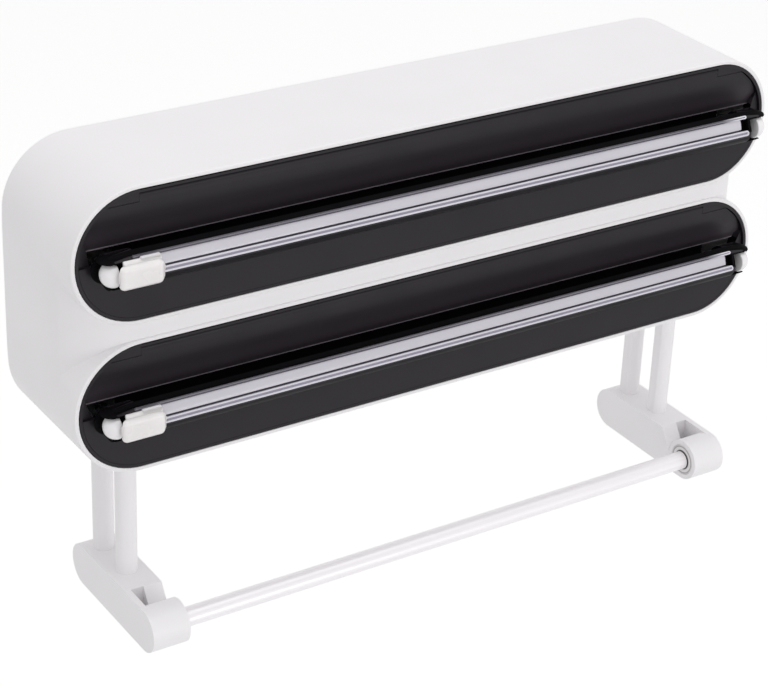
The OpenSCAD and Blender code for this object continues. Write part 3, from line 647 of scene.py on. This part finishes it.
def cut_guard(mesh, height):
    """Cuts the faces of the guard along a level line, for the strip with the painted highlight.
    """
    bm = bmesh.new()
    bm.from_mesh(mesh)
    guard = [f for f in bm.faces if all(v.co.y > front_y + 0.0003 for v in f.verts)]
    rims = [v for v in bm.verts if any(f in guard for f in v.link_faces)]
    rims += [e for e in bm.edges if any(f in guard for f in e.link_faces)]
    bmesh.ops.bisect_plane(
        bm, geom=guard + rims, dist=1e-6, plane_co=(0, 0, height), plane_no=(0, 0, 1)
    )
    bm.to_mesh(mesh)
    bm.free()


def door_finish(face, z):
    """The finish of one face of a door, whose tier is at z."""
    at = face.center
    rise = at.z - z
    from_bar = math.hypot(at.y - bar_y, rise - bar_drop)
    in_lip = lip_low < rise < lip_high - 5 * hair and lip_near_y < at.y < lip_far_y
    # painted highlight on the guard's lip
    if in_lip and face.normal.y < -0.3:
        return black_painted_highlight
    bar_lip = rise > 0.0047 and at.y < bar_y + 0.0005 and abs(at.x) < rail_end
    in_slot = slot_low < rise < slot_high and at.y > slot_y
    # painted shade in the bar's hollow, along its top lip and in the slot
    if from_bar < bar_hollow_r or bar_lip or in_slot:
        return black_painted_shade
    if rise > slot_high and at.y > front_y - 0.0005 and abs(at.x) < 0.18:
        return black_guard
    # painted shade on the bar's underside
    on_bar = from_bar < bar_under_r and at.y < front_y - 0.0003 and abs(at.x) < bar_end_x
    return black_under_painted_shade if on_bar and at.z < z - 0.003 else black_front


for level, z in TIERS.items():
    door = rounded_node(
        f"door_{level}",
        f"front_{level}_moulding",
        [(lambda at: at.y < bar_y + 0.0002 and at.z > z + 0.004, 0.00025, 3)],
    )
    for point in door.data.vertices:
        flatten_hood(point.co, z)
    for point in door.data.vertices:
        widen_guard(point.co, z)
    cut_guard(door.data, z + lip_high)
    paint(
        door,
        [black_front, black_painted_shade, black_guard, black_painted_highlight, black_under_painted_shade],
        lambda face: door_finish(face, z),
    )
    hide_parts(f"door_{level}")
    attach(door, f"front_{level}")

# --- Clear rails -----------------------------------------------------------------------------
# A clear polished extrusion sits in the window of each bar. A wide crowned band lies between
# two raised edges with hairpin ends, and a dark groove below it lets the cutter's neck run.

tilt = math.radians(25)
# out from the bar's axis: the rail's face, its back and the back slab's face; half its height
rail_face, rail_back, rail_half = 0.0069, 0.0069 - 0.0031, 0.0049
slab_face = rail_back + 0.0009
# the band between the raised edges, and the short step beyond each of its ends
band_end, band_low, band_wide, band_steps = rail_end - 0.004, -0.0014, 0.0048, 12
band_sunk, crown_drop = 0.0001, 0.00035
step_long, step_out, step_low, step_high = 0.0013, rail_back + 0.0017, 0.0008, 0.0034
# the raised edges: half their width, and how deep their middle is sunk
top_edge_r, low_edge_r = 0.0008, 0.0013
top_edge_sink, low_edge_sink = 0.0003, 0.0005


def on_face(level, x, out, rise):
    """A point of the rail's frame: how far out from the bar's axis, and how far up its face."""
    return Vector(
        (
            x,
            bar_y + rise * math.sin(tilt) - out * math.cos(tilt),
            TIERS[level] + bar_drop + rise * math.cos(tilt) + out * math.sin(tilt),
        )
    )


def loft(bm, loops):
    """Closed skin over loops of points that have the same count."""
    rows = [[bm.verts.new(point) for point in loop] for loop in loops]
    count = len(rows[0])
    for low, high in zip(rows, rows[1:]):
        for i in range(count):
            j = (i + 1) % count
            bm.faces.new((low[i], low[j], high[j], high[i]))
    bm.faces.new(rows[0][::-1])
    bm.faces.new(rows[-1])


def extrude(bm, level, section, ends):
    """A length of the rail, with a section of (out, rise) points between two places along X."""
    loft(bm, [[on_face(level, x, out, rise) for out, rise in section] for x in ends])


def round_ended(half_length, radius, steps=14):
    """Outline of a bar with half-round ends, drawn flat about the origin."""
    return [
        (
            side * (half_length - radius + radius * math.cos(a)),
            side * radius * math.sin(a),
        )
        for side in (1, -1)
        for a in (math.pi * (i / steps - 0.5) for i in range(steps + 1))
    ]


def raised_edge(bm, level, middle, radius, sink):
    """One of the rail's raised edges: a long loop with round ends and a sunk middle."""
    slope = radius / low_edge_r
    rim = (
        (0.0, rail_back),
        (0.0, rail_face + 0.0002),
        (0.0001, rail_face + 0.00031),
        (0.00035, rail_face + 0.00035),
        (0.0006 * slope + 0.0001, rail_face + 0.00031),
        (0.0007 * slope + 0.0001, rail_face + 0.0002),
        (0.00075 * slope + 0.0001, rail_face - sink),
    )
    loft(
        bm,
        [
            [
                on_face(level, x, out, middle + rise)
                for x, rise in round_ended(rail_end - inset, radius - inset)
            ]
            for inset, out in rim
        ],
    )


def piece_from(bm, name, sharp=32):
    """Turns a built mesh into a piece."""
    bmesh.ops.recalc_face_normals(bm, faces=bm.faces[:])
    mesh = bpy.data.meshes.new(name)
    bm.to_mesh(mesh)
    bm.free()
    piece = bpy.data.objects.new(name, mesh)
    bpy.context.scene.collection.objects.link(piece)
    shade(piece, sharp)
    return piece


def polished(name, light, dark, roughness):
    """Clear or tinted plastic of the rail."""
    return moulded(name, light, dark, roughness, grain=900.0, waves=60.0, bump=0.03)


clear_rail = polished("clear_rail", (233, 230, 238), (222, 218, 228), (0.1, 0.2))
wire(clear_rail.node_tree.nodes["Principled BSDF"], {"Transmission Weight": 0.2, "IOR": 1.49})
# cut edges gather light, and the groove and the sunk middles get darker tones, painted shade for
# the black bar behind
rail_edge = polished("rail_edge", (224, 221, 230), (214, 211, 221), (0.12, 0.2))
rail_middle = polished("rail_middle", (176, 172, 186), (160, 156, 170), (0.15, 0.25))
rail_shadow = polished("rail_shadow", (66, 60, 78), (52, 47, 64), (0.3, 0.4))
# along the top the raised edge is dark with painted shade, and gets a painted highlight near its
# free end
rail_top_edge = polished("rail_top_edge", (92, 88, 96), (80, 76, 84), (0.15, 0.25))
near_end = put(
    rail_top_edge.node_tree,
    "ShaderNodeMapRange",
    {"Value": place_on(rail_top_edge.node_tree, "X"), "From Min": 0.15, "From Max": 0.16},
)
lay_over(rail_top_edge, near_end.outputs["Result"], tone(236, 234, 241))


def rail_finish(face, level):
    """The finish of one face of a rail."""
    at = face.center - on_face(level, 0, 0, 0)
    out = -at.y * math.cos(tilt) + at.z * math.sin(tilt)
    rise = at.y * math.sin(tilt) + at.z * math.cos(tilt)
    sunk_middle = len(face.vertices) > 8
    if out < slab_face + 0.0001:
        return rail_shadow
    if sunk_middle:
        return rail_middle
    if rise > rail_half - 2 * top_edge_r:
        return rail_top_edge
    if rise < -rail_half + 2 * low_edge_r:
        return rail_edge
    return rail_middle if abs(at.x) > band_end + 0.0001 else clear_rail


for level in TIERS:
    bm = bmesh.new()
    # the back of the extrusion
    back = [(rail_back, -rail_half), (rail_back, rail_half)]
    back += [(slab_face, rail_half), (slab_face, -rail_half)]
    extrude(bm, level, back, (-band_end, band_end))
    # the wide band with its low crown
    crown = []
    for i in range(band_steps + 1):
        drop = crown_drop * abs(2 * i / band_steps - 1) ** 3
        crown.append((rail_face - band_sunk - drop, band_low + band_wide * i / band_steps))
    band = crown + [(slab_face, crown[-1][1]), (slab_face, crown[0][1])]
    extrude(bm, level, band, (-band_end, band_end))
    # the step beyond each end of the band
    step = [(rail_back, step_low), (rail_back, step_high)]
    step += [(step_out, step_high), (step_out, step_low)]
    for side in (-1, 1):
        extrude(bm, level, step, sorted((side * band_end, side * (band_end + step_long))))
    raised_edge(bm, level, rail_half - top_edge_r, top_edge_r, top_edge_sink)
    raised_edge(bm, level, -rail_half + low_edge_r, low_edge_r, low_edge_sink)
    rail = piece_from(bm, f"rail_{level}_extrusion")
    paint(
        rail,
        [clear_rail, rail_edge, rail_middle, rail_shadow, rail_top_edge],
        lambda face: rail_finish(face, level),
    )
    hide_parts(f"rail_{level}")
    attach(rail, f"front_{level}")

# --- End buttons -----------------------------------------------------------------------------
# A polished white domed button sits in each end of a bar. A flat tongue runs back from it
# through the door to the catch, and a small steel spring pushes it out again.

SIDES = ("left", "right")
button_white = moulded(
    "button_white",
    (249, 247, 249),
    (245, 243, 245),
    (0.2, 0.28),
    grain=3000.0,
    waves=90.0,
    bump=0.02,
)
for level in TIERS:
    for side in SIDES:
        node = f"button_{level}_{side}"
        flat_x = min(abs(corner.x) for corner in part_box(node))
        button = rounded_node(
            node,
            f"{node}_cap",
            [(lambda at: abs(abs(at.x) - flat_x) < hair and at.y < front_y - 0.0015, 0.0006, 4)],
        )
        dress(button, button_white)
        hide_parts(node)
        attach(button, f"{node}_press")
        finish_node(f"spring_{level}_{side}", zinc_steel)

# --- Slide cutters ---------------------------------------------------------------------------
# The grip is a thick pad of milky plastic with a thin tab that reaches up over the rail.
# A white runner holds it in the rail, and a small steel blade with two points does the cutting.


def filleted(corners, steps=5):
    """Outline through (x, y, radius) corners, each rounded with that radius."""
    outline = []
    for i, (x, y, radius) in enumerate(corners):
        here = Vector((x, y))
        before = (Vector(corners[i - 1][:2]) - here).normalized()
        after = (Vector(corners[(i + 1) % len(corners)][:2]) - here).normalized()
        half = before.angle(after) / 2
        centre = here + (before + after).normalized() * (radius / math.sin(half))
        start = here + before * (radius / math.tan(half)) - centre
        end = here + after * (radius / math.tan(half)) - centre
        for k in range(steps + 1):
            outline.append(
                centre + start.normalized().slerp(end.normalized(), k / steps) * radius
            )
    return outline


def pillow(bm, outline, x0, x1, radius, axis_z, steps=6):
    """A solid with an outline about the bar's axis from x0 to x1, drawn in at both ends."""
    centre = sum(outline, Vector((0, 0))) / len(outline)
    half = [max(abs(p[k] - centre[k]) for p in outline) for k in (0, 1)]
    loops = []
    for end, way in ((x0, 1), (x1, -1)):
        part = []
        for k in range(steps + 1):
            a = math.pi / 2 * k / steps
            inset = radius * (1 - math.sin(a))
            x = end + way * radius * (1 - math.cos(a))
            loop = []
            for p in outline:
                y, rise = (
                    centre[n] + (p[n] - centre[n]) * (1 - inset / half[n]) for n in (0, 1)
                )
                loop.append(Vector((x, bar_y + y, axis_z + rise)))
            part.append(loop)
        loops += part if way == 1 else part[::-1]
    loft(bm, loops)


def milky(name, light, dark):
    """Milky plastic of the grips."""
    return moulded(name, light, dark, (0.2, 0.3), grain=400.0, waves=110.0, bump=0.02)


frosted_grip = milky("frosted_grip", (249, 245, 246), (234, 230, 230))
wire(
    frosted_grip.node_tree.nodes["Principled BSDF"],
    {
        "Subsurface Weight": 0.5,
        "Subsurface Radius": (1.0, 1.0, 1.0),
        "Subsurface Scale": 0.002,
    },
)
# the tab is thin there, and gets a darker tone of painted shade for the rail showing through it
frosted_tab = milky("frosted_tab", (228, 225, 230), (214, 211, 217))
white_small = moulded(
    "white_small",
    (232, 230, 231),
    (224, 222, 223),
    (0.38, 0.5),
    grain=2200.0,
    waves=120.0,
    bump=0.08,
)
pad_round, tab_round = 0.0026, 0.0008
tall_tab_long, thin_rise = 0.0098, 0.0066


def grip_finish(from_end, rise):
    """The finish of a face of a grip, whose tall tab is thin along its free edge."""
    thin = rise > thin_rise and from_end > -tall_tab_long - 0.0001
    return frosted_tab if thin else frosted_grip


for level, z in TIERS.items():
    low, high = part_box(f"cutter_grip_{level}")
    axis_z = z + bar_drop
    rear = low.y - bar_y
    pad = filleted(
        [
            (-0.0089, -0.0049, 0.0012),
            (rear, -0.0049, 0.0016),
            (rear + 0.0002, 0.0046, 0.0018),
            (-0.0078, 0.0062, 0.0008),
            (-0.0089, -0.0011, 0.0004),
        ]
    )
    tab = filleted(
        [
            (-0.0069, 0.0028, 0.0004),
            (-0.0083, 0.0052, 0.0004),
            (-0.0068, 0.0067, 0.0007),
            (-0.0054, 0.0062, 0.0005),
        ]
    )
    tall_tab = filleted(
        [
            (-0.0066, 0.0044, 0.0004),
            (-0.0079, 0.0052, 0.0004),
            (-0.0067, 0.0075, 0.0006),
            (-0.0053, 0.0068, 0.0005),
        ]
    )
    # a thick pad, a low tab along its top, and a tall tab at its right end
    bm = bmesh.new()
    pillow(bm, pad, low.x, high.x, pad_round, axis_z)
    pillow(bm, tab, low.x + 0.0032, high.x - 0.0002, tab_round, axis_z)
    pillow(bm, tall_tab, high.x - tall_tab_long, high.x - 0.0004, tab_round, axis_z)
    grip = piece_from(bm, f"grip_{level}", sharp=50)
    paint(
        grip,
        [frosted_grip, frosted_tab],
        lambda face: grip_finish(face.center.x - high.x, face.center.z - axis_z),
    )
    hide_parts(f"cutter_grip_{level}")
    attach(grip, f"cutter_{level}")
    finish_node(f"cutter_runner_{level}", white_small)
    finish_node(f"cutter_blade_{level}", zinc_steel)

# --- Brackets and bushes ---------------------------------------------------------------------
# Each bracket is one white moulding with two round legs that go up into the casing's floor.
# Its edges are softly rounded, and a separate white bush lines the hole for the rod.

white_bush = moulded(
    "white_bush",
    (238, 236, 237),
    (230, 228, 229),
    (0.38, 0.5),
    grain=2200.0,
    waves=120.0,
    bump=0.08,
)
# the bush gets rings of painted shade: a dark ring for the gap round the rod, then rings of light
# and grey
bush_tree = white_bush.node_tree
bush_low, bush_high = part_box("bush_right")
to_rod = put(
    bush_tree,
    "ShaderNodeVectorMath",
    {0: put(bush_tree, "ShaderNodeTexCoord").outputs["Object"], 1: (bush_low + bush_high) / 2},
    operation="SUBTRACT",
)
across = put(
    bush_tree,
    "ShaderNodeVectorMath",
    {0: to_rod.outputs["Vector"], 1: (0, 1, 1)},
    operation="MULTIPLY",
)
span = put(bush_tree, "ShaderNodeVectorMath", {0: across.outputs["Vector"]}, operation="LENGTH")
in_centimetres = put(
    bush_tree, "ShaderNodeMath", {0: span.outputs["Value"], 1: 100}, operation="MULTIPLY"
)
painted_shade_rings = put(bush_tree, "ShaderNodeValToRGB", {"Fac": in_centimetres.outputs[0]})
steps = painted_shade_rings.color_ramp.elements
steps[0].position, steps[0].color = 0.5, tone(92, 90, 92)
steps[1].position, steps[1].color = 0.54, (1, 1, 1, 1)
for radius, colour in (
    (0.66, (1, 1, 1, 1)),
    (0.69, tone(188, 186, 186)),
    (0.73, tone(188, 186, 186)),
    (0.76, (1, 1, 1, 1)),
):
    steps.new(radius).color = colour
lay_over(white_bush, 1, painted_shade_rings.outputs["Color"], "MULTIPLY")

bracket_body = 0.0208
for side in SIDES:
    body_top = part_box(f"bracket_{side}")[0].z + bracket_body
    bracket = rounded_node(
        f"bracket_{side}",
        f"bracket_{side}_moulding",
        [(lambda at: at.z < body_top + 0.0003, 0.0006, 4)],
    )
    dress(bracket, white_shell)
    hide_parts(f"bracket_{side}")
    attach(bracket, "base")
    bush = rounded_node(f"bush_{side}", f"bush_{side}_ring", [(lambda at: True, 0.0002, 2)])
    dress(bush, white_bush)
    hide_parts(f"bush_{side}")
    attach(bush, "base")

# --- Roll rod --------------------------------------------------------------------------------
# A thin aluminium tube, anodised silver and smooth, with rolled ends. A fixed plug carries its
# left end, and at the right a sprung plunger lets it out from between the brackets.

rod_metal = metal(
    "rod_metal",
    (252, 249, 252),
    (246, 243, 246),
    (0.3, 0.38),
    along=(0.01, 1, 1),
    lines=900.0,
    metallic=0.2,
    bump=0.02,
)
rod = rounded_node("rod_tube", "rod_tube_skin", [(lambda at: True, 0.0003, 3)])
dress(rod, rod_metal)
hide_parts("rod_tube")
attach(rod, "rod")
for node in ("rod_plug", "rod_plunger", "rod_seat"):
    finish_node(node, white_small)
finish_node("rod_spring", zinc_steel)
